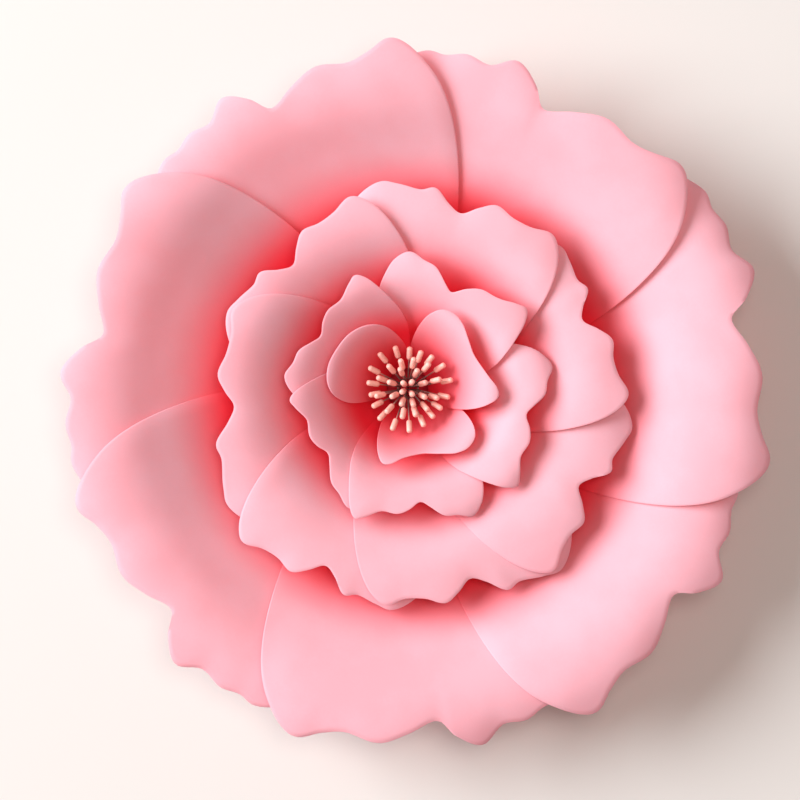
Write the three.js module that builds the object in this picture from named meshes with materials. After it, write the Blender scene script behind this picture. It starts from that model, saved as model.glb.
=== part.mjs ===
// Giant paper flower, lying on its back: four rings of die-cut card petals on a round card base,
// round a bunch of double-ended stamens. Millimetres, +Z out of the flower's face.
// The origin is the centre of the base's back face. Bearings are degrees clockwise from +Y.
import * as THREE from "three";

const CARD = 0.4; // thickness of the petals' card
const BOWL_SAMPLES = 400; // straight steps that a ring's bowl is measured in
const REACH_BEARING = 20; // bearing from the notch at which a petal's reach is given, on each side
const BASE_RADIUS = 40;
const BASE_THICKNESS = 1.2;
const BASE_SIDES = 48;

// Each ring of petals shares one bowl and one die-cut outline.
//   bowl: radius and height of the bowl, from the petals' feet to their rolled-back rims
//   outline: bearing from the petal's deep notch, and radius, round one petal seen from the front
//   step: angle between two neighbours when they are evenly spaced
//   footLift, rimLift: how far a petal's clockwise side rises over its neighbour, at foot and rim
//   arch: how far a petal's sides drop from its crest at the rim, at the bearing archBearing
//   crest: bearing of the highest line of the arch
//   petals: bearing of the deep notch, spread of the petal's width, and reach of its rim
//     REACH_BEARING before the notch, at the notch, and REACH_BEARING past it
const INNER_BOWL = [[9, 10.8], [14, 18.5], [20.5, 30], [26.5, 39], [32, 44.5], [37.5, 46], [42.5, 43.5]];
const RINGS = [
  {
    name: "outer_petal",
    colour: 0xf6b9c2,
    bowl: [
      [11, 2.6], [45, 9], [70, 18.5], [88, 26.6], [104, 35.2], [120, 43.8], [134, 47.5], [147, 47],
      [160, 42],
    ],
    outline: [
      [-49, 14], [-48, 50], [-45, 80], [-40, 107], [-34, 127], [-28, 141], [-22, 149],
      [-18.5, 147.5], [-15, 149.5], [-11, 147], [-7, 153], [-3, 146], [0, 137.5], [5, 142.5],
      [10, 147], [15.5, 145], [19.5, 148], [23, 153], [26, 151], [30, 142], [33.5, 131], [37, 115],
      [41, 92], [44, 70], [47, 45], [50, 14],
    ],
    step: 360 / 7,
    footLift: 0.95,
    rimLift: 7.5,
    arch: 6,
    archBearing: 30,
    crest: 3,
    across: 24,
    along: 8,
    petals: [
      [334, 0.98, 0.945, 0.95, 0.96],
      [26, 1.06, 0.96, 0.945, 0.967],
      [78, 1, 1.025, 1.01, 1.015],
      [128, 0.93, 0.995, 1.03, 1.03],
      [175, 0.98, 0.995, 1.022, 1.01],
      [227, 0.985, 1.015, 0.99, 0.965],
      [280, 1.07, 0.985, 0.945, 0.95],
    ],
  },
  {
    name: "second_petal",
    colour: 0xf7bcc6,
    bowl: [
      [10, 5.5], [30, 13.6], [44, 23.4], [56, 33], [66, 39], [76, 41.8], [88, 42], [101, 40.5],
    ],
    outline: [
      [-50, 12], [-48, 42], [-42, 62], [-35, 76], [-28, 86.5], [-22, 91], [-17.5, 89], [-12, 86],
      [-8, 87], [-4, 81], [0, 78], [4, 83], [8, 87.5], [13, 86.5], [18, 88], [23, 92], [27, 89],
      [31, 82], [35.5, 71.5], [40, 60], [44.5, 48], [48, 32], [51, 12],
    ],
    step: 360 / 7,
    footLift: 1.55,
    rimLift: 5,
    arch: 3.4,
    archBearing: 30,
    crest: 3,
    across: 22,
    along: 8,
    petals: [
      [317, 1.12, 0.91, 0.91, 0.915],
      [17, 1.13, 0.97, 0.985, 0.965],
      [69, 0.97, 0.97, 1.013, 1.01],
      [120, 0.92, 1.065, 1.065, 1.07],
      [162, 1.02, 1.11, 1.085, 1],
      [205, 0.95, 1.04, 1.06, 1.035],
      [264, 1.27, 1.005, 0.945, 0.88],
    ],
  },
  {
    name: "third_petal",
    colour: 0xf8c0ca,
    bowl: [[9.5, 8.6], [20, 17.5], [30, 29], [38, 37.5], [45, 42.3], [52, 44.3], [58, 44.5], [64, 43]],
    outline: [
      [-56, 11], [-50, 27], [-42, 39], [-35, 49], [-29, 56], [-23, 59], [-17, 55.5], [-11, 53.5],
      [-5, 48.5], [0, 46], [6, 49], [12, 51], [20, 51], [27, 55], [31, 57], [35, 54], [40, 47.5],
      [45, 41.5], [50, 36], [55, 28], [59, 11],
    ],
    step: 72,
    footLift: 1.1,
    rimLift: 5,
    arch: 3,
    archBearing: 36,
    crest: 3,
    across: 18,
    along: 6,
    petals: [
      [24.5, 1.03, 0.98, 0.96, 1.05],
      [103, 0.93, 1.06, 1.11, 1.09],
      [174, 0.91, 1.04, 1.05, 1.04],
      [231, 1.07, 0.96, 0.945, 0.88],
      [301, 1.09, 0.88, 0.93, 0.92],
    ],
  },
  {
    name: "inner_petal",
    colour: 0xf3a9b6,
    bowl: INNER_BOWL,
    outline: [
      [-62, 10], [-58, 17], [-52, 24], [-45, 30], [-38, 34], [-30, 35], [-22, 33.5], [-12, 31],
      [0, 29.5], [10, 30], [20, 32], [28, 35], [34, 35.5], [40, 32], [47, 26], [54, 18.5], [61, 10],
    ],
    step: 120,
    footLift: 1.2,
    rimLift: 4,
    arch: 2,
    archBearing: 45,
    crest: 3,
    across: 14,
    along: 5,
    petals: [
      [62, 1, 1.05, 1.05, 1.07],
      [165, 1, 1.01, 0.96, 0.94],
    ],
  },
  {
    name: "round_inner_petal",
    colour: 0xf3a9b6,
    bowl: INNER_BOWL,
    outline: [
      [-60, 10], [-55, 22], [-46, 29], [-36, 33], [-24, 34.5], [-10, 34], [4, 33.5], [18, 31.5],
      [30, 28], [40, 23], [50, 17], [60, 10],
    ],
    step: 120,
    footLift: 1.2,
    rimLift: 4,
    arch: 2,
    archBearing: 45,
    crest: 3,
    across: 14,
    along: 5,
    petals: [
      [309, 1, 1, 1, 1],
    ],
  },
];

// Stamens: each is one thread folded in half, with both ends dipped in paste. The legs stand in
// rings of an even number, so that the two legs of a stamen are neighbours in one ring.
//   legs: how many; packed: radius of the ring in the binding; open: radius at the heads
//   height: of the heads; lean: of the heads from upright, in degrees
const STAMEN_RINGS = [
  { legs: 4, packed: 0.65, open: 3.4, height: 41, lean: 12 },
  { legs: 8, packed: 1.6, open: 8.4, height: 40, lean: 30 },
  { legs: 12, packed: 2.55, open: 13.4, height: 38, lean: 46 },
  { legs: 18, packed: 3.5, open: 18, height: 35, lean: 60 },
];
// The bunch is spread by hand, so each head wanders from its even place: round its ring by
// turn / legs radians, in or out by a share of the radius, and up or down in mm. A leg's phase
// sets which way it wanders.
const HEAD_WANDER = { turn: 0.9, reach: 0.07, height: 1.5 };
const LEG_PHASE = 7.3;
const RING_PHASE = 2.1;
const THREAD_RADIUS = 0.3;
const HEAD_RADIUS = 1.25;
const HEAD_LENGTH = 6;
const FOLD_HEIGHT = 2;
const BOUND_HEIGHT = 11;
const NECK = 9; // how far a thread runs on straight below its tip, and above the binding
const STAMEN_SIDES = 5;
const HEAD_STEPS = 4;
const LEG_STEPS = 6;

const WIRE_RADIUS = 0.25;
const WIRE_TURNS = 3;
const WIRE_COIL_RADIUS = 4.35;
const WIRE_HEIGHT = 6;
const WIRE_PITCH = 0.9;
const WIRE_SIDES = 4;
const WIRE_STEPS = 14; // steps in one turn

const card = (colour) => new THREE.MeshStandardMaterial({ color: colour, roughness: 0.85, metalness: 0 });
const baseCard = card(0xf2b4be);
const stamenPaste = new THREE.MeshStandardMaterial({ color: 0xf7b6a8, roughness: 0.6, metalness: 0 });
const wireSteel = new THREE.MeshStandardMaterial({ color: 0x6a6662, roughness: 0.4, metalness: 0.9 });

// A smooth curve through pairs of numbers.
function curveThrough(points) {
  return new THREE.SplineCurve(points.map(([x, y]) => new THREE.Vector2(x, y)));
}

// A ring's bowl as a function of radius: height, and the normal in the plane of the section.
function bowlOf(points) {
  const curve = curveThrough(points);
  const places = curve.getPoints(BOWL_SAMPLES);
  return (radius) => {
    const past = places.findIndex((place) => place.x >= radius);
    const after = Math.max(past < 0 ? BOWL_SAMPLES : past, 1);
    const [below, above] = [places[after - 1], places[after]];
    const share = (radius - below.x) / (above.x - below.x);
    const along = above.clone().sub(below).normalize();
    return { place: below.clone().lerp(above, share), normal: new THREE.Vector2(-along.y, along.x) };
  };
}

// How far a petal's rim reaches at a bearing from its notch, as a multiple of the outline's.
function reachAt(bearing, [before, notch, past]) {
  const side = bearing < 0 ? before : past;
  return THREE.MathUtils.lerp(notch, side, Math.min(Math.abs(bearing) / REACH_BEARING, 1));
}

// One petal: a box of the card's thickness with a grid of faces, each vertex moved to its place
// between the foot edge and the die-cut rim. The step makes the pinwheel, where the clockwise
// side of each petal lies on the next one, and the arch rolls both its sides back.
function petalGeometry(ring, [notchBearing, spread, ...reaches]) {
  const bowlAt = bowlOf(ring.bowl);
  const outline = curveThrough(ring.outline);
  const [foot, rim] = [ring.bowl[0][0], ring.bowl.at(-1)[0]];
  const geometry = new THREE.BoxGeometry(1, 1, 1, ring.across, ring.along, 1);
  const position = geometry.attributes.position;
  for (let i = 0; i < position.count; i += 1) {
    const edge = outline.getPoint(position.getX(i) + 0.5);
    const reach = edge.y * reachAt(edge.x, reaches);
    const radius = foot + (reach - foot) * (position.getY(i) + 0.5);
    const share = (radius - foot) / (rim - foot);
    const step = ring.footLift + (ring.rimLift - ring.footLift) * share;
    const arch = ring.arch * ((share * (edge.x - ring.crest)) / ring.archBearing) ** 2;
    const lift = (step * edge.x * spread) / ring.step - arch + position.getZ(i) * CARD;
    const { place, normal } = bowlAt(radius);
    place.addScaledVector(normal, lift);
    const angle = THREE.MathUtils.degToRad(notchBearing + edge.x * spread);
    position.setXYZ(i, place.x * Math.sin(angle), place.x * Math.cos(angle), place.y);
  }
  // The back's squares are halved along the same diagonals as the front's, so that the card
  // keeps its thickness where it twists.
  const { index, groups } = geometry;
  const back = groups.at(-1);
  for (let i = back.start; i < back.start + back.count; i += 6) {
    index.setX(i + 2, index.getX(i + 4));
    index.setX(i + 3, index.getX(i));
  }
  geometry.computeVertexNormals();
  return geometry;
}

// The places of one stamen leg: where it stands in the binding, where its head is, and the way
// the head points.
function stamenLeg(ring, leg) {
  const angle = (2 * Math.PI * (leg + 0.5)) / ring.legs;
  const phase = LEG_PHASE * leg + RING_PHASE * ring.legs;
  const openAngle = angle + (HEAD_WANDER.turn * Math.sin(phase)) / ring.legs;
  const openRadius = ring.open * (1 + HEAD_WANDER.reach * Math.cos(phase));
  const openHeight = ring.height + HEAD_WANDER.height * Math.sin(phase);
  const lean = THREE.MathUtils.degToRad(ring.lean);
  const outward = new THREE.Vector3(Math.cos(openAngle), Math.sin(openAngle), 0);
  const tip = outward.clone().multiplyScalar(openRadius).setZ(openHeight);
  const pointing = outward.clone().multiplyScalar(Math.sin(lean)).setZ(Math.cos(lean));
  const packed = new THREE.Vector3(Math.cos(angle), Math.sin(angle), 0).multiplyScalar(ring.packed);
  return { packed, tip, pointing };
}

// How thick a stamen is at a distance from its tip: the paste's long oval, then the thread.
function stamenRadius(fromTip) {
  const fromMiddle = (2 * fromTip) / HEAD_LENGTH - 1;
  return Math.max(HEAD_RADIUS * Math.sqrt(Math.max(1 - fromMiddle ** 2, 0)), THREAD_RADIUS);
}

// Distances from a stamen's tip to the rings of its surface: close together on the head, and
// even from there to the fold.
function ringPlaces(legLength) {
  const places = [];
  for (let k = 0; k <= HEAD_STEPS; k += 1) {
    places.push((HEAD_LENGTH * (1 - Math.cos((Math.PI * k) / HEAD_STEPS))) / 2);
  }
  for (let k = 1; k <= LEG_STEPS; k += 1) {
    places.push(HEAD_LENGTH + ((legLength - HEAD_LENGTH) * k) / LEG_STEPS);
  }
  return places;
}

// One stamen: a cylinder with its rings moved along the thread, from one tip over the fold to
// the other tip.
function stamenGeometry(first, second) {
  const bound = (leg, rise) => leg.packed.clone().setZ(BOUND_HEIGHT + rise);
  const neck = (leg) => leg.tip.clone().addScaledVector(leg.pointing, -NECK);
  const middle = first.packed.clone().add(second.packed).multiplyScalar(0.5);
  const fold = middle.clone().setZ(FOLD_HEIGHT);
  const path = new THREE.CurvePath();
  path.add(new THREE.CubicBezierCurve3(first.tip, neck(first), bound(first, NECK), bound(first, 0)));
  path.add(new THREE.LineCurve3(bound(first, 0), fold));
  path.add(new THREE.LineCurve3(fold, bound(second, 0)));
  path.add(new THREE.CubicBezierCurve3(bound(second, 0), bound(second, NECK), neck(second), second.tip));

  const [, foldPlace, , length] = path.getCurveLengths();
  const farLeg = ringPlaces(length - foldPlace).slice(0, -1);
  const places = [...ringPlaces(foldPlace), ...farLeg.reverse().map((place) => length - place)];
  const rows = places.length - 1;
  const outward = middle.normalize();
  const geometry = new THREE.CylinderGeometry(1, 1, rows, STAMEN_SIDES, rows);
  const position = geometry.attributes.position;
  for (let i = 0; i < position.count; i += 1) {
    const place = places[Math.round(position.getY(i) + rows / 2)];
    const along = path.getTangent(place / length);
    const side = outward.clone().projectOnPlane(along).normalize();
    const radius = stamenRadius(Math.min(place, length - place));
    const point = path.getPoint(place / length);
    point.addScaledVector(side, radius * position.getX(i));
    point.addScaledVector(side.cross(along), radius * position.getZ(i));
    position.setXYZ(i, point.x, point.y, point.z);
  }
  geometry.computeVertexNormals();
  return geometry;
}

// A regular polygon, the section of the wire.
function roundSection(radius, sides) {
  const section = new THREE.Shape();
  for (let k = 0; k < sides; k += 1) {
    const angle = (2 * Math.PI * k) / sides;
    section[k ? "lineTo" : "moveTo"](radius * Math.cos(angle), radius * Math.sin(angle));
  }
  return section;
}

class Helix extends THREE.Curve {
  getPoint(share, target = new THREE.Vector3()) {
    const angle = 2 * Math.PI * WIRE_TURNS * share;
    const height = WIRE_HEIGHT + WIRE_PITCH * WIRE_TURNS * share;
    return target.set(WIRE_COIL_RADIUS * Math.cos(angle), WIRE_COIL_RADIUS * Math.sin(angle), height);
  }
}

const flower = new THREE.Group();

function addPiece(name, geometry, material) {
  const piece = new THREE.Mesh(geometry, material);
  piece.name = name;
  flower.add(piece);
}

const base = new THREE.CylinderGeometry(BASE_RADIUS, BASE_RADIUS, BASE_THICKNESS, BASE_SIDES);
base.rotateX(Math.PI / 2);
base.translate(0, 0, BASE_THICKNESS / 2);
addPiece("base_disc", base, baseCard);

for (const ring of RINGS) {
  const material = card(ring.colour);
  ring.petals.forEach((petal, index) => {
    addPiece(`${ring.name}_${index + 1}`, petalGeometry(ring, petal), material);
  });
}

let stamenCount = 0;
for (const ring of STAMEN_RINGS) {
  for (let leg = 0; leg < ring.legs; leg += 2) {
    stamenCount += 1;
    const geometry = stamenGeometry(stamenLeg(ring, leg), stamenLeg(ring, leg + 1));
    addPiece(`stamen_${String(stamenCount).padStart(2, "0")}`, geometry, stamenPaste);
  }
}

const wireSection = roundSection(WIRE_RADIUS, WIRE_SIDES);
const wireCourse = { steps: WIRE_STEPS * WIRE_TURNS, extrudePath: new Helix() };
const wire = new THREE.ExtrudeGeometry(wireSection, wireCourse);
addPiece("binding_wire", wire, wireSteel);

export default flower;
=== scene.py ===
import math

import bpy
import numpy as np
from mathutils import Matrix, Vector


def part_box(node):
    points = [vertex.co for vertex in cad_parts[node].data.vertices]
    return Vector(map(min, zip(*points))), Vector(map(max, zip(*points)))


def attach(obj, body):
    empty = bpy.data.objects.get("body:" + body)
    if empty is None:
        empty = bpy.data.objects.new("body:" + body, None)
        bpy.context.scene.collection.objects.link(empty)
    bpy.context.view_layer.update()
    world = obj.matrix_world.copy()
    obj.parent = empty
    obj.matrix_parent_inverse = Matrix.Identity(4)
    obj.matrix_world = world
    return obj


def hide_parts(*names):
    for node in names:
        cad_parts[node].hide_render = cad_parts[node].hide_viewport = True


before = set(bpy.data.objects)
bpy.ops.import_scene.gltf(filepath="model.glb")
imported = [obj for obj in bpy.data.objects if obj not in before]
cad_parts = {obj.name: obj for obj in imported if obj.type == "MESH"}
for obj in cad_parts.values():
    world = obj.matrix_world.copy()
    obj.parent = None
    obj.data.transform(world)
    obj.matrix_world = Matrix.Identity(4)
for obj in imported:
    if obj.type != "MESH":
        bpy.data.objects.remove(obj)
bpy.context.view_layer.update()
MM = 0.001


# ---- Base disc ------------------------------------------------------------------------------
# A round of thick pink card, cut with a compass cutter. The outer petals' feet are glued to its
# face, and its bare back goes against the wall.

class Value:
    """A shader socket that takes part in sums, so that shader maths reads as plain maths."""

    def __init__(self, tree, socket):
        self.tree, self.socket = tree, socket

    def _math(self, operation, first, second):
        return node(self.tree, "ShaderNodeMath", {"operation": operation}, {0: first, 1: second})

    def __add__(self, other):
        return self._math("ADD", self, other)

    def __mul__(self, other):
        return self._math("MULTIPLY", self, other)

    def __rsub__(self, other):
        return self._math("SUBTRACT", other, self)

    __radd__, __rmul__ = __add__, __mul__


def node(tree, kind, settings, inputs, output=0):
    """A shader node of that kind: its settings come first, then its sockets' values or links."""
    made = tree.nodes.new(kind)
    for name, value in settings.items():
        setattr(made, name, value)
    for name, value in inputs.items():
        if isinstance(value, Value):
            tree.links.new(value.socket, made.inputs[name])
        else:
            made.inputs[name].default_value = value
    return Value(tree, made.outputs[output])


def mixed(tree, share, first, second):
    """One colour turning into another as share goes from 0 to 1."""
    return node(tree, "ShaderNodeMix", {"data_type": "RGBA"}, {0: share, 6: first, 7: second}, 2)


def ramped(tree, value, low, high):
    """0 where value is under low, 1 where it is over high, and smooth between."""
    settings = {"interpolation_type": "SMOOTHSTEP"}
    return node(tree, "ShaderNodeMapRange", settings, {0: value, 1: low, 2: high})


def speckled(tree, place, scale, detail):
    """A random pattern from 0 to 1, with about scale specks in a metre."""
    return node(tree, "ShaderNodeTexNoise", {}, {"Vector": place, "Scale": scale, "Detail": detail})


def card_finish(name, middle, painted_shade_inner, painted_shade_outer):
    """Uncoated coloured card that lets some red light through: it is cloudy, with fibre flecks
    and a felt grain. Painted shade: towards middle its colour turns deep red between the two
    given radii in mm, standing in for the shade under the next ring's rims."""
    material = bpy.data.materials.new(name)
    material.use_nodes = True
    tree = material.node_tree
    place = node(tree, "ShaderNodeTexCoord", {}, {}, "Object")
    cloud = speckled(tree, place, 45, 3)
    fibre = speckled(tree, place, 900, 2)
    felt = speckled(tree, place, 2600, 2)
    even = mixed(tree, ramped(tree, cloud * 0.8 + fibre * 0.2, 0.35, 0.65), CLOUDY_CARD, PALE_CARD)
    # painted shade: the card turns deep red near middle and fades out by the outer radius, where
    # the next ring's rims shade it
    flat = node(tree, "ShaderNodeVectorMath", {"operation": "MULTIPLY"}, {0: place, 1: (1, 1, 0)})
    centre = (middle[0] * MM, middle[1] * MM, 0)
    radius = node(tree, "ShaderNodeVectorMath", {"operation": "DISTANCE"}, {0: flat, 1: centre}, 1)
    out_of_painted_shade = ramped(tree, radius, painted_shade_inner * MM, painted_shade_outer * MM)
    colour = mixed(tree, out_of_painted_shade, PAINTED_SHADE_CARD, even)
    bump = {"Strength": 0.25, "Distance": GRAIN_DEPTH, "Height": felt * 0.6 + fibre * 0.4}
    shader = tree.nodes["Principled BSDF"]
    tree.links.new(colour.socket, shader.inputs["Base Color"])
    tree.links.new(node(tree, "ShaderNodeBump", {}, bump).socket, shader.inputs["Normal"])
    tree.links.new((0.74 + 0.16 * fibre).socket, shader.inputs["Roughness"])
    shader.inputs["Specular IOR Level"].default_value = 0.3
    front = Value(tree, shader.outputs["BSDF"])
    glow = node(tree, "ShaderNodeBsdfTranslucent", {}, {"Color": LIT_THROUGH})
    card = node(tree, "ShaderNodeMixShader", {}, {0: SHARE_THROUGH, 1: front, 2: glow})
    tree.links.new(card.socket, tree.nodes["Material Output"].inputs["Surface"])
    return material


def only(piece):
    """Makes a piece the one selected and active object."""
    bpy.ops.object.select_all(action="DESELECT")
    piece.select_set(True)
    bpy.context.view_layer.objects.active = piece


def settled(piece, name, finish):
    """Names a piece, gives it its finish and its body, and puts its place into its mesh."""
    only(piece)
    bpy.ops.object.transform_apply(location=True, rotation=True, scale=True)
    piece.name = name
    piece.data.name = name
    piece.data.materials.clear()
    piece.data.materials.append(finish)
    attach(piece, "root")


def modified(piece, kind, **settings):
    """Adds a modifier to a piece and applies it."""
    only(piece)
    bpy.ops.object.modifier_add(type=kind)
    modifier = piece.modifiers[-1]
    for name, value in settings.items():
        setattr(modifier, name, value)
    bpy.ops.object.modifier_apply(modifier=modifier.name)


PALE_CARD = (0.98, 0.62, 0.72, 1)
CLOUDY_CARD = (0.97, 0.57, 0.66, 1)
# painted shade: the deep red of the shadows between the rings and round the centre
PAINTED_SHADE_CARD = (0.98, 0.03, 0.06, 1)
LIT_THROUGH = (1, 0.14, 0.18, 1)  # the colour that light takes on its way through the card
SHARE_THROUGH = 0.35
GRAIN_DEPTH = 0.05 * MM
# painted shade round the middle of the disc, under the petals and stamens
base_card = card_finish("base card", (0, 0), 20, 38)
DISC_EDGE_ROUND = 0.12 * MM
low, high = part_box("base_disc")
bpy.ops.object.select_all(action="DESELECT")
bpy.ops.mesh.primitive_cylinder_add(
    vertices=160,
    radius=(high.x - low.x) / 2,
    depth=high.z - low.z,
    location=(low + high) / 2,
)
disc = bpy.context.object
modified(disc, "BEVEL", width=DISC_EDGE_ROUND, segments=2, limit_method="ANGLE")
only(disc)
bpy.ops.object.shade_smooth_by_angle(angle=math.radians(40))
settled(disc, "base_card_disc", base_card)
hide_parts("base_disc")


# ---- Outer petals ---------------------------------------------------------------------------
# Seven die-cut petals of pink card. Each is cupped at its foot, arched across, and rolled back
# at its rim, and its clockwise side lies on the next petal, like the blades of a pinwheel.

CARD = 0.4 * MM
CARD_EDGE_ROUND = 0.07 * MM
BOWL_SAMPLES = 2001
REACH_BEARING = 20  # bearing from the notch at which a petal's reach is given, on each side
RIPPLE_SHIFT = 2.4  # how far the ripples shift from one petal to the next, in radians


def through(points, shares):
    """Points at even shares of a smooth curve through the given points."""
    points = np.array(points, float)
    last = len(points) - 1
    place = np.clip(np.asarray(shares, float), 0, 1) * last
    start = np.minimum(place.astype(int), last - 1)
    step = (place - start)[:, None]
    before, here = points[np.maximum(start - 1, 0)], points[start]
    there, after = points[start + 1], points[np.minimum(start + 2, last)]
    leave, arrive = (there - before) / 2, (after - here) / 2
    cubic = (2 * here - 2 * there + leave + arrive) * step**3
    square = (3 * there - 3 * here - 2 * leave - arrive) * step**2
    return cubic + square + leave * step + here


class Bowl:
    """The curve that a ring of petals lies on, from foot to rim: height at each radius."""

    def __init__(self, points):
        self.places = through(points, np.linspace(0, 1, BOWL_SAMPLES))
        slopes = np.gradient(self.places, axis=0)
        self.slopes = slopes / np.hypot(*slopes.T)[:, None]

    def at(self, radius):
        height = np.interp(radius, self.places[:, 0], self.places[:, 1])
        run, rise = (np.interp(radius, self.places[:, 0], column) for column in self.slopes.T)
        return height, -rise, run


def petal(ring, number, notch_bearing, spread, reaches, across, along):
    """One petal: a fine grid of card moved to its place on the bowl, then given its thickness."""
    bpy.ops.object.select_all(action="DESELECT")
    bpy.ops.mesh.primitive_grid_add(x_subdivisions=across, y_subdivisions=along, size=1)
    sheet = bpy.context.object
    flat = np.zeros(len(sheet.data.vertices) * 3)
    sheet.data.vertices.foreach_get("co", flat)
    side, out = flat.reshape(-1, 3)[:, 0] + 0.5, flat.reshape(-1, 3)[:, 1] + 0.5
    bearing, rim = through(ring["outline"], side).T
    before, notch, past = reaches
    turn = np.clip(np.abs(bearing) / REACH_BEARING, 0, 1)
    rim = rim * (notch + (np.where(bearing < 0, before, past) - notch) * turn)
    foot, full = ring["bowl"][0][0], ring["bowl"][-1][0]
    radius = foot + (rim - foot) * out
    share = (radius - foot) / (full - foot)
    step = ring["foot_lift"] + (ring["rim_lift"] - ring["foot_lift"]) * share
    arch = ring["arch"] * (share * (bearing - ring["crest"]) / ring["arch_bearing"]) ** 2
    lift = step * bearing * spread / ring["step"] - arch
    roll = np.clip(1 - (rim - radius) / ring["roll_width"], 0, 1) ** 2 * share**2
    wave = np.sin(np.radians(bearing) * ring["waves"] + RIPPLE_SHIFT * number)
    lift += roll * (ring["ripple"] * wave - ring["roll"])
    height, normal_out, normal_up = Bowl(ring["bowl"]).at(radius)
    radius, height = radius + normal_out * lift, height + normal_up * lift
    angle = np.radians(notch_bearing + bearing * spread)
    placed = np.column_stack([radius * np.sin(angle), radius * np.cos(angle), height]) * MM
    sheet.data.vertices.foreach_set("co", placed.ravel())
    sheet.data.update()
    modified(sheet, "SOLIDIFY", thickness=CARD, offset=0)
    corners = {"limit_method": "ANGLE", "angle_limit": math.radians(60)}
    modified(sheet, "BEVEL", width=CARD_EDGE_ROUND, segments=1, **corners)
    only(sheet)
    bpy.ops.object.shade_smooth_by_angle(angle=math.radians(50))
    return sheet


def petals(ring, finish, across, along):
    """A ring's petals, each with its finish and its body, in place of its part's mesh, which is
    hidden.
    """
    for number, (bearing, spread, *reaches) in enumerate(ring["petals"], 1):
        sheet = petal(ring, number, bearing, spread, reaches, across, along)
        settled(sheet, f"{ring['name']}_{number}_card", finish)
        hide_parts(f"{ring['name']}_{number}")


# bowl: radius and height, from the petals' feet to their rims. outline: bearing from the notch,
# and radius, round one petal. step: angle between even neighbours. foot_lift, rim_lift: how far a
# petal's clockwise side rises over its neighbour. arch: how far its sides drop from the crest.
# roll: how far the last roll_width of the rim turns down, with ripples. petals: bearing of the
# notch, spread of the width, and reach of the rim before the notch, at it and past it.
OUTER = {
    "name": "outer_petal",
    "bowl": [
        (11, 2.6), (45, 9), (70, 18.5), (88, 26.6), (104, 35.2), (120, 43.8), (134, 47.5),
        (147, 47), (160, 42),
    ],
    "outline": [
        (-49, 14), (-48, 50), (-45, 80), (-40, 107), (-34, 127), (-28, 141), (-22, 149),
        (-18.5, 147.5), (-15, 149.5), (-11, 147), (-7, 153), (-3, 146), (0, 137.5), (5, 142.5),
        (10, 147), (15.5, 145), (19.5, 148), (23, 153), (26, 151), (30, 142), (33.5, 131),
        (37, 115), (41, 92), (44, 70), (47, 45), (50, 14),
    ],
    "step": 360 / 7, "foot_lift": 0.95, "rim_lift": 7.5,
    "arch": 6, "arch_bearing": 30, "crest": 3,
    "roll": 1.0, "roll_width": 20, "ripple": 1.0, "waves": 13,
    "petals": [
        (334, 0.98, 0.945, 0.95, 0.96),
        (26, 1.06, 0.96, 0.945, 0.967),
        (78, 1, 1.025, 1.01, 1.015),
        (128, 0.93, 0.995, 1.03, 1.03),
        (175, 0.98, 0.995, 1.022, 1.01),
        (227, 0.985, 1.015, 0.99, 0.965),
        (280, 1.07, 0.985, 0.945, 0.95),
    ],
}
# painted shade on the outer petals under the second ring's rims
outer_card = card_finish("outer card", (4, -4), 78, 108)
petals(OUTER, outer_card, 144, 56)


# ---- Second ring ----------------------------------------------------------------------------
# Seven smaller petals, die-cut from the same card. They are cupped more steeply, and their feet
# are glued on the feet of the outer ones.

SECOND = {
    "name": "second_petal",
    "bowl": [
        (10, 5.5), (30, 13.6), (44, 23.4), (56, 33), (66, 39), (76, 41.8), (88, 42), (101, 40.5),
    ],
    "outline": [
        (-50, 12), (-48, 42), (-42, 62), (-35, 76), (-28, 86.5), (-22, 91), (-17.5, 89), (-12, 86),
        (-8, 87), (-4, 81), (0, 78), (4, 83), (8, 87.5), (13, 86.5), (18, 88), (23, 92), (27, 89),
        (31, 82), (35.5, 71.5), (40, 60), (44.5, 48), (48, 32), (51, 12),
    ],
    "step": 360 / 7, "foot_lift": 1.55, "rim_lift": 5,
    "arch": 3.4, "arch_bearing": 30, "crest": 3,
    "roll": 0.8, "roll_width": 14, "ripple": 0.7, "waves": 13,
    "petals": [
        (317, 1.12, 0.91, 0.91, 0.915),
        (17, 1.13, 0.97, 0.985, 0.965),
        (69, 0.97, 0.97, 1.013, 1.01),
        (120, 0.92, 1.065, 1.065, 1.07),
        (162, 1.02, 1.11, 1.085, 1),
        (205, 0.95, 1.04, 1.06, 1.035),
        (264, 1.27, 1.005, 0.945, 0.88),
    ],
}
# painted shade on the second ring under the third ring's rims
second_card = card_finish("second card", (3.5, -1), 44, 67)
petals(SECOND, second_card, 128, 44)


# ---- Third ring -----------------------------------------------------------------------------
# Five petals of the same card, smaller and steeper again, glued on the feet of the second ring's.
# Their rims stand a little over the second ring's.

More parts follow.
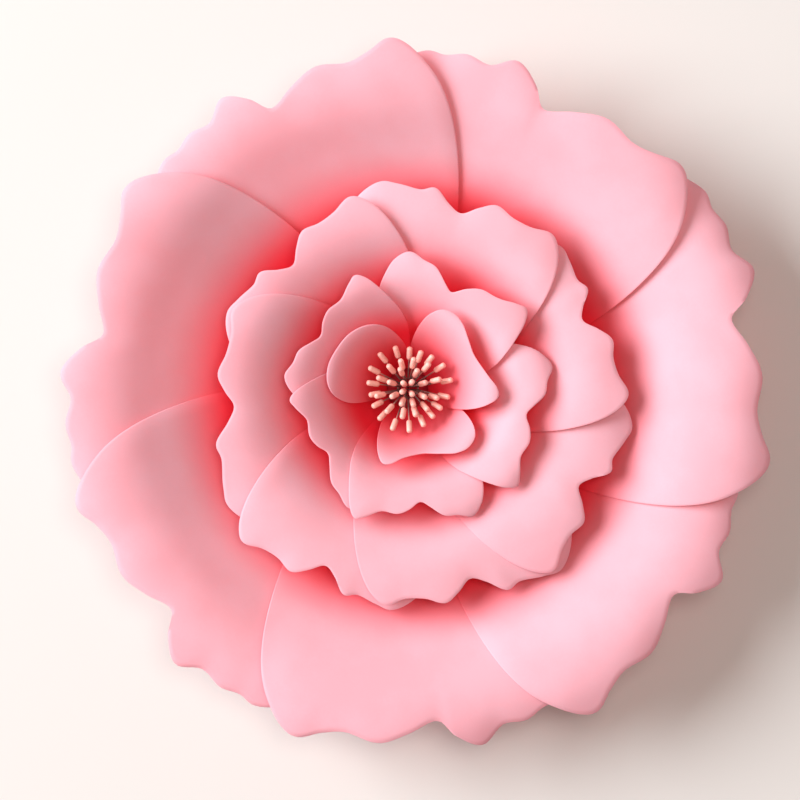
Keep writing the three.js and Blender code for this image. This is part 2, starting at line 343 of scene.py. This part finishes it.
THIRD = {
    "name": "third_petal",
    "bowl": [
        (9.5, 8.6), (20, 17.5), (30, 29), (38, 37.5), (45, 42.3), (52, 44.3), (58, 44.5), (64, 43),
    ],
    "outline": [
        (-56, 11), (-50, 27), (-42, 39), (-35, 49), (-29, 56), (-23, 59), (-17, 55.5), (-11, 53.5),
        (-5, 48.5), (0, 46), (6, 49), (12, 51), (20, 51), (27, 55), (31, 57), (35, 54), (40, 47.5),
        (45, 41.5), (50, 36), (55, 28), (59, 11),
    ],
    "step": 72, "foot_lift": 1.1, "rim_lift": 5,
    "arch": 3, "arch_bearing": 36, "crest": 3,
    "roll": 0.7, "roll_width": 10, "ripple": 0.5, "waves": 11,
    "petals": [
        (24.5, 1.03, 0.98, 0.96, 1.05),
        (103, 0.93, 1.06, 1.11, 1.09),
        (174, 0.91, 1.04, 1.05, 1.04),
        (231, 1.07, 0.96, 0.945, 0.88),
        (301, 1.09, 0.88, 0.93, 0.92),
    ],
}
# painted shade on the third ring under the inner petals' rims
third_card = card_finish("third card", (2.5, -1), 24, 42)
petals(THIRD, third_card, 112, 40)


# ---- Inner petals ---------------------------------------------------------------------------
# Three small petals of the same card that stand up round the stamens, glued by their feet inside
# the third ring. The last one has a plain round rim.

INNER = {
    "name": "inner_petal",
    "bowl": [
        (9, 10.8), (14, 18.5), (20.5, 30), (26.5, 39), (32, 44.5), (37.5, 46), (42.5, 43.5),
    ],
    "outline": [
        (-62, 10), (-58, 17), (-52, 24), (-45, 30), (-38, 34), (-30, 35), (-22, 33.5), (-12, 31),
        (0, 29.5), (10, 30), (20, 32), (28, 35), (34, 35.5), (40, 32), (47, 26), (54, 18.5),
        (61, 10),
    ],
    "step": 120, "foot_lift": 1.2, "rim_lift": 4,
    "arch": 2, "arch_bearing": 45, "crest": 3,
    "roll": 0.6, "roll_width": 8, "ripple": 0.4, "waves": 9,
    "petals": [
        (62, 1, 1.05, 1.05, 1.07),
        (165, 1, 1.01, 0.96, 0.94),
    ],
}
# painted shade on the inner petals round the stamens
inner_card = card_finish("inner card", (0, 0), 11, 36)
petals(INNER, inner_card, 96, 36)
ROUND_INNER = {
    "name": "round_inner_petal",
    "bowl": INNER["bowl"],
    "outline": [
        (-60, 10), (-55, 22), (-46, 29), (-36, 33), (-24, 34.5), (-10, 34), (4, 33.5), (18, 31.5),
        (30, 28), (40, 23), (50, 17), (60, 10),
    ],
    "step": 120, "foot_lift": 1.2, "rim_lift": 4,
    "arch": 2, "arch_bearing": 45, "crest": 3,
    "roll": 0.6, "roll_width": 8, "ripple": 0.2, "waves": 5,
    "petals": [
        (309, 1, 1, 1, 1),
    ],
}
petals(ROUND_INNER, inner_card, 96, 36)


# ---- Stamens --------------------------------------------------------------------------------
# Twenty-one stock stamens: stiff threads folded in half, with both ends dipped in a peach paste
# that dries satin. They are bound near the fold and spread by hand.

HEAD_LENGTH, HEAD_RADIUS, HEAD_ROUND = 6.0, 1.2, 0.95
THREAD_RADIUS = 0.3
FOLD_HEIGHT, BOUND_HEIGHT = 2, 11
NECK = 9  # how far a thread runs on straight below its tip, and above the binding
LEG_POINTS = 15
STAMEN_RINGS = [  # legs, radius when packed, radius at the heads, height and lean of the heads
    (4, 0.65, 3.4, 41, 12), (8, 1.6, 8.4, 40, 30), (12, 2.55, 13.4, 38, 46), (18, 3.5, 18, 35, 60),
]
WANDER_TURN, WANDER_REACH, WANDER_HEIGHT = 0.9, 0.07, 1.5  # of each head, from its even place
LEG_PHASE, RING_PHASE = 7.3, 2.1
PALE_PASTE = (0.96, 0.52, 0.44, 1)
DEEP_PASTE = (0.88, 0.36, 0.30, 1)
THREAD_COLOUR = (0.30, 0.17, 0.15, 1)


def paste_finish():
    """Dipped stamens: the thread is dark and dull deep in the bunch, the paste is smooth peach."""
    material = bpy.data.materials.new("stamen paste")
    material.use_nodes = True
    tree = material.node_tree
    place = node(tree, "ShaderNodeTexCoord", {}, {}, "Object")
    from_middle = node(tree, "ShaderNodeVectorMath", {"operation": "LENGTH"}, {0: place}, 1)
    cloud = speckled(tree, place, 700, 2)
    paste = mixed(tree, cloud, DEEP_PASTE, PALE_PASTE)
    dipped = ramped(tree, from_middle, 30 * MM, 37.5 * MM)
    shader = tree.nodes["Principled BSDF"]
    colour = mixed(tree, dipped, THREAD_COLOUR, paste)
    tree.links.new(colour.socket, shader.inputs["Base Color"])
    tree.links.new((0.62 - 0.2 * dipped).socket, shader.inputs["Roughness"])
    bump = {"Strength": 0.3, "Distance": 0.1 * MM, "Height": cloud}
    tree.links.new(node(tree, "ShaderNodeBump", {}, bump).socket, shader.inputs["Normal"])
    return material


def bezier(corners, shares):
    """Points of a cubic curve with those four corners."""
    first, second, third, last = (np.array(corner, float) for corner in corners)
    share = np.asarray(shares)[:, None]
    rest = 1 - share
    return (
        first * rest**3 + 3 * second * share * rest**2 + 3 * third * share**2 * rest
        + last * share**3
    )


def leg_course(ring, leg):
    """One leg's middle line from its tip down to the binding, and the way its head points."""
    legs, packed, spread_out, tip_height, lean = ring
    angle = math.tau * (leg + 0.5) / legs
    phase = LEG_PHASE * leg + RING_PHASE * legs
    turned = angle + WANDER_TURN * math.sin(phase) / legs
    away = spread_out * (1 + WANDER_REACH * math.cos(phase))
    up = tip_height + WANDER_HEIGHT * math.sin(phase)
    outward = np.array([math.cos(turned), math.sin(turned), 0])
    upright = np.array([0, 0, 1])
    pointing = outward * math.sin(math.radians(lean)) + upright * math.cos(math.radians(lean))
    tip = outward * away + upright * up
    bound = np.array([packed * math.cos(angle), packed * math.sin(angle), BOUND_HEIGHT])
    corners = tip, tip - pointing * NECK, bound + upright * NECK, bound
    return bezier(corners, np.linspace(0, 1, LEG_POINTS)), tip, pointing


def tube(places, radius, name):
    """A round thread or wire along those places."""
    line = bpy.data.curves.new(name, "CURVE")
    line.dimensions = "3D"
    line.bevel_depth = radius * MM
    line.bevel_resolution = 2
    line.use_fill_caps = True
    spline = line.splines.new("POLY")
    spline.points.add(len(places) - 1)
    for point, place in zip(spline.points, places):
        point.co = (*(place * MM), 1)
    piece = bpy.data.objects.new(name, line)
    bpy.context.collection.objects.link(piece)
    only(piece)
    bpy.ops.object.convert(target="MESH")
    return bpy.context.object


def dipped_head(tip, pointing):
    """A blunt rod of dried paste, rounded at both ends."""
    bpy.ops.object.select_all(action="DESELECT")
    bpy.ops.mesh.primitive_cylinder_add(
        vertices=16,
        radius=HEAD_RADIUS * MM,
        depth=HEAD_LENGTH * MM,
        location=Vector((tip - pointing * HEAD_LENGTH / 2) * MM),
        rotation=Vector(pointing).to_track_quat("Z", "Y").to_euler(),
    )
    head = bpy.context.object
    modified(head, "BEVEL", width=HEAD_ROUND * MM, segments=4, limit_method="ANGLE")
    return head


stamen_paste = paste_finish()
stamen_count = 0
for ring in STAMEN_RINGS:
    for leg in range(0, ring[0], 2):
        stamen_count += 1
        first, first_tip, first_pointing = leg_course(ring, leg)
        second, second_tip, second_pointing = leg_course(ring, leg + 1)
        fold = (first[-1] + second[-1]) / 2
        fold[2] = FOLD_HEIGHT
        thread = tube(np.vstack([first, fold, second[::-1]]), THREAD_RADIUS, "thread")
        heads = [dipped_head(first_tip, first_pointing), dipped_head(second_tip, second_pointing)]
        only(thread)
        for head in heads:
            head.select_set(True)
        bpy.ops.object.join()
        bpy.ops.object.shade_smooth_by_angle(angle=math.radians(50))
        settled(thread, f"stamen_{stamen_count:02d}_dipped", stamen_paste)
        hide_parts(f"stamen_{stamen_count:02d}")


# ---- Binding wire ---------------------------------------------------------------------------
# A few turns of thin dark steel wire, wound by hand round the stamens' threads near the fold, so
# that the bunch stands up from the base.

WIRE_STEEL = (0.35, 0.33, 0.31, 1)


def wire_finish():
    """Drawn steel wire, a little uneven in its shine."""
    material = bpy.data.materials.new("binding wire")
    material.use_nodes = True
    tree = material.node_tree
    place = node(tree, "ShaderNodeTexCoord", {}, {}, "Object")
    cloud = speckled(tree, place, 900, 2)
    shader = tree.nodes["Principled BSDF"]
    shader.inputs["Base Color"].default_value = WIRE_STEEL
    shader.inputs["Metallic"].default_value = 1.0
    tree.links.new((0.3 + 0.25 * cloud).socket, shader.inputs["Roughness"])
    return material


WIRE_RADIUS, WIRE_TURNS, TURN_POINTS = 0.25, 3, 48
WIRE_COIL_RADIUS, WIRE_HEIGHT, WIRE_PITCH = 4.35, 6, 0.9
turned = np.linspace(0, math.tau * WIRE_TURNS, TURN_POINTS * WIRE_TURNS)
rise = WIRE_HEIGHT + WIRE_PITCH * turned / math.tau
coil = np.column_stack([WIRE_COIL_RADIUS * np.cos(turned), WIRE_COIL_RADIUS * np.sin(turned), rise])
wire = tube(coil, WIRE_RADIUS, "wire")
only(wire)
bpy.ops.object.shade_smooth_by_angle(angle=math.radians(60))
settled(wire, "binding_wire_coil", wire_finish())
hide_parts("binding_wire")


# ---- Stage: backing surface, light and camera -----------------------------------------------
# A wide pale painted board under the flower, a cool soft light from the left, a weak warm one
# from the front, and a camera that looks straight at the flower's face.

FLOOR_SIDE = 6  # metres
FLOOR_PAINT = (0.68, 0.655, 0.63, 1)
LIGHT_AIM = Vector((0, 0, 0.03))
COOL_LIGHT, WARM_LIGHT, WARM_ROOM = (0.94, 0.97, 1.0), (1.0, 0.85, 0.78), (1.0, 0.86, 0.8, 1)
CAMERA_PLACE = (-3.4 * MM, -5.1 * MM, 1.6)
CAMERA_LENS, CAMERA_SENSOR = 166.4, 36


def stage_finish(name, colour):
    """Dull emulsion paint."""
    material = bpy.data.materials.new(name)
    material.use_nodes = True
    shader = material.node_tree.nodes["Principled BSDF"]
    shader.inputs["Base Color"].default_value = colour
    shader.inputs["Roughness"].default_value = 0.9
    shader.inputs["Specular IOR Level"].default_value = 0.1
    return material


bpy.ops.object.select_all(action="DESELECT")
bpy.ops.mesh.primitive_plane_add(size=FLOOR_SIDE, location=(0, 0, 0))
floor = bpy.context.object
floor.name = "floor"
floor.data.materials.append(stage_finish("floor paint", FLOOR_PAINT))


def softbox(name, place, size, power, colour):
    """A round soft light that faces the flower."""
    bpy.ops.object.light_add(type="AREA", location=place)
    light = bpy.context.object
    light.name = name
    light.data.shape = "DISK"
    light.data.size = size
    light.data.energy = power
    light.data.color = colour
    light.rotation_euler = (LIGHT_AIM - light.location).to_track_quat("-Z", "Y").to_euler()


softbox("key", (-2.75, 0.84, 1.8), 2.6, 222, COOL_LIGHT)
softbox("fill", (0.3, 0.2, 3.0), 1.2, 33, WARM_LIGHT)
world = bpy.data.worlds.new("studio")
world.use_nodes = True
background = world.node_tree.nodes["Background"]
background.inputs["Color"].default_value = WARM_ROOM
background.inputs["Strength"].default_value = 0.22
bpy.context.scene.world = world
bpy.context.scene.view_settings.view_transform = "Standard"

bpy.ops.object.camera_add(location=CAMERA_PLACE, rotation=(0, 0, 0))
camera = bpy.context.object
camera.data.lens = CAMERA_LENS
camera.data.sensor_width = CAMERA_SENSOR
camera.data.clip_end = 20
bpy.context.scene.camera = camera
